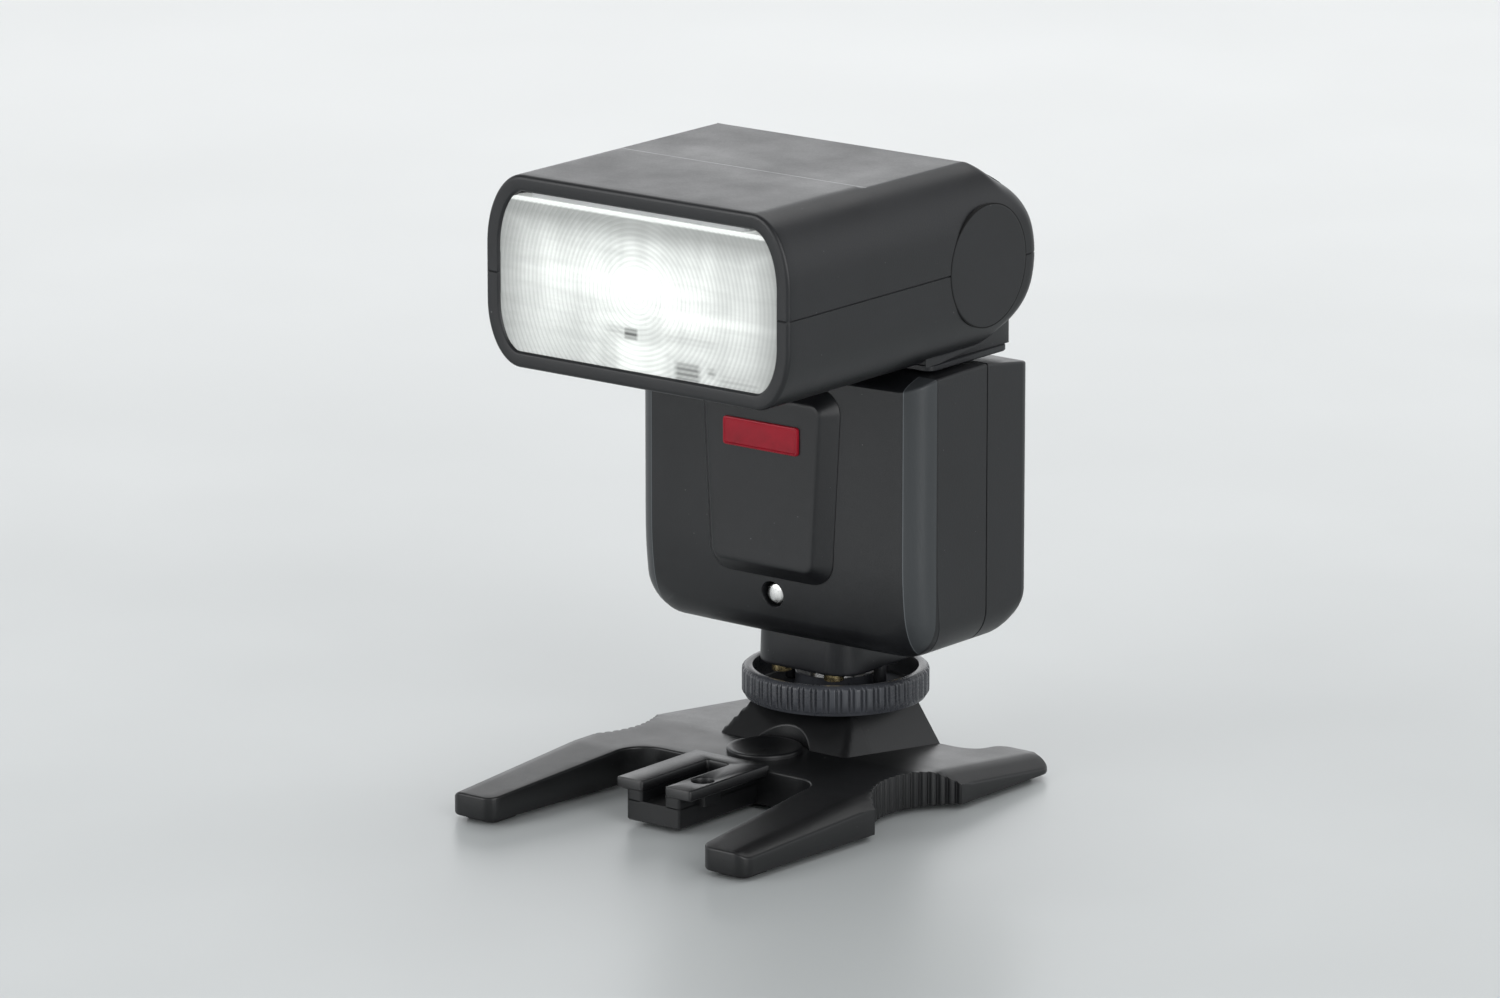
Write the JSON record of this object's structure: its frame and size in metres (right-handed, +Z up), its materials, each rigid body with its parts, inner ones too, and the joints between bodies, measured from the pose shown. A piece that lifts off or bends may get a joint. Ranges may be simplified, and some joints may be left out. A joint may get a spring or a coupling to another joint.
{
  "type": "speedlight flash",
  "caption": "Hot shoe flash with a swivelling, tilting zoom head and slide-out wide panel, standing in a low four-footed table stand with a shoe tongue.",
  "frame": {"origin": "on the floor under the middle of the stand's footprint", "axes": "+Z up, the lens looks along -Y, the controls face +Y, +X is the user's right when looking at the lens"},
  "size_m": [0.077, 0.0966, 0.1269],
  "materials": {
    "case_plastic": "fine satin grain, near black",
    "stand_plastic": "fine satin grain, near black",
    "trim_plastic": "semi gloss black",
    "badge_red": "semi gloss dark red, bare",
    "pad_rubber": "matt",
    "key_rubber": "matt grey",
    "lens_clear": "clear with ring grooves",
    "panel_white": "milky clear",
    "mirror_metal": "polished",
    "tube_glass": "clear",
    "bright_steel": "plated",
    "brass": "turned",
    "board_green": "lacquered",
    "inner_plastic": "plain",
    "cell_wrap": "printed sleeve, bare",
    "capacitor_sleeve": "shrink sleeve",
    "copper_winding": "lacquered wire",
    "display_glass": "grey green",
    "lamp_clear": "clear red"
  },
  "bodies": {
    "stand": {"stand_base": "stand_plastic", "stand_pads": "pad_rubber", "tripod_bush": "brass"},
    "flash": {"shoe_plate": "bright_steel", "shoe_contacts": "brass", "foot_neck": "case_plastic", "foot_screws": "brass", "front_shell": "case_plastic", "rear_shell": "case_plastic", "front_panel": "trim_plastic", "badge": "badge_red", "case_screw": "bright_steel", "battery_cradle": "inner_plastic", "battery_cells": "cell_wrap", "battery_contacts": "bright_steel", "main_board": "board_green", "main_capacitor": "capacitor_sleeve", "transformer": "copper_winding", "control_panel": "trim_plastic", "control_board": "board_green", "display_module": "display_glass", "display_window": "display_glass", "ready_lamp": "lamp_clear"},
    "lock_ring": {"lock_ring": "stand_plastic"},
    "lock_pin": {"lock_pin": "bright_steel"},
    "battery_door": {"battery_door": "case_plastic", "door_contacts": "bright_steel"},
    "button_mode": {"button_mode": "key_rubber"},
    "button_zoom": {"button_zoom": "key_rubber"},
    "button_minus": {"button_minus": "key_rubber"},
    "button_plus": {"button_plus": "key_rubber"},
    "test_button": {"test_button": "key_rubber"},
    "power_switch": {"power_switch": "inner_plastic"},
    "turret": {"turret": "case_plastic", "turret_base": "trim_plastic", "swivel_clip": "bright_steel", "tilt_pins": "bright_steel"},
    "head": {"head_upper_shell": "case_plastic", "head_lower_shell": "case_plastic", "pivot_caps": "trim_plastic", "fresnel_lens": "lens_clear", "panel_tray": "inner_plastic", "guide_rods": "bright_steel", "zoom_motor": "bright_steel", "trigger_board": "board_green", "head_screws": "bright_steel"},
    "wide_panel": {"wide_panel": "panel_white"},
    "zoom_unit": {"reflector": "mirror_metal", "flash_tube": "tube_glass", "zoom_carriage": "inner_plastic"},
    "lead_screw": {"lead_screw": "bright_steel"}
  },
  "joints": [
    {"name": "shoe_slide", "type": "slide", "parent": "stand", "child": "flash", "axis": [0, 1, 0], "range_m": [0, 0.022]},
    {"name": "lock_ring_turn", "type": "hinge", "parent": "flash", "child": "lock_ring", "pos_m": [0, 0.02775, 0.0173], "axis": [0, 0, 1], "range_deg": [0, 120]},
    {"name": "lock_pin_slide", "type": "slide", "parent": "flash", "child": "lock_pin", "axis": [0, 0, -1], "range_m": [0, 0.0008]},
    {"name": "battery_door_slide", "type": "slide", "parent": "flash", "child": "battery_door", "axis": [0, 0, -1], "range_m": [0, 0.004]},
    {"name": "button_mode_press", "type": "slide", "parent": "flash", "child": "button_mode", "axis": [0, -1, 0], "range_m": [0, 0.0006], "stiffness_N_per_m": 300},
    {"name": "button_zoom_press", "type": "slide", "parent": "flash", "child": "button_zoom", "axis": [0, -1, 0], "range_m": [0, 0.0006], "stiffness_N_per_m": 300},
    {"name": "button_minus_press", "type": "slide", "parent": "flash", "child": "button_minus", "axis": [0, -1, 0], "range_m": [0, 0.0006], "stiffness_N_per_m": 300},
    {"name": "button_plus_press", "type": "slide", "parent": "flash", "child": "button_plus", "axis": [0, -1, 0], "range_m": [0, 0.0006], "stiffness_N_per_m": 300},
    {"name": "test_button_press", "type": "slide", "parent": "flash", "child": "test_button", "axis": [0, -1, 0], "range_m": [0, 0.0006], "stiffness_N_per_m": 300},
    {"name": "power_switch_slide", "type": "slide", "parent": "flash", "child": "power_switch", "axis": [1, 0, 0], "range_m": [0, 0.0045]},
    {"name": "head_swivel", "type": "hinge", "parent": "flash", "child": "turret", "pos_m": [0, 0.02775, 0.087], "axis": [0, 0, 1], "range_deg": [-120, 180]},
    {"name": "head_tilt", "type": "hinge", "parent": "turret", "child": "head", "pos_m": [0, 0.02775, 0.107], "axis": [-1, 0, 0], "range_deg": [0, 90]},
    {"name": "wide_panel_slide", "type": "slide", "parent": "head", "child": "wide_panel", "axis": [0, -1, 0], "range_m": [0, 0.03]},
    {"name": "zoom_slide", "type": "slide", "parent": "head", "child": "zoom_unit", "axis": [0, 1, 0], "range_m": [0, 0.012]},
    {"name": "lead_screw_turn", "type": "hinge", "parent": "head", "child": "lead_screw", "pos_m": [0.023, 0, 0.0936], "axis": [0, 1, 0], "range_deg": [0, 721]}
  ],
  "couplings": [
    {"joint": "lock_pin_slide", "follows": "lock_ring_turn", "m_per_rad": 0.00038},
    {"joint": "lead_screw_turn", "follows": "zoom_slide", "rad_per_m": 1047}
  ]
}
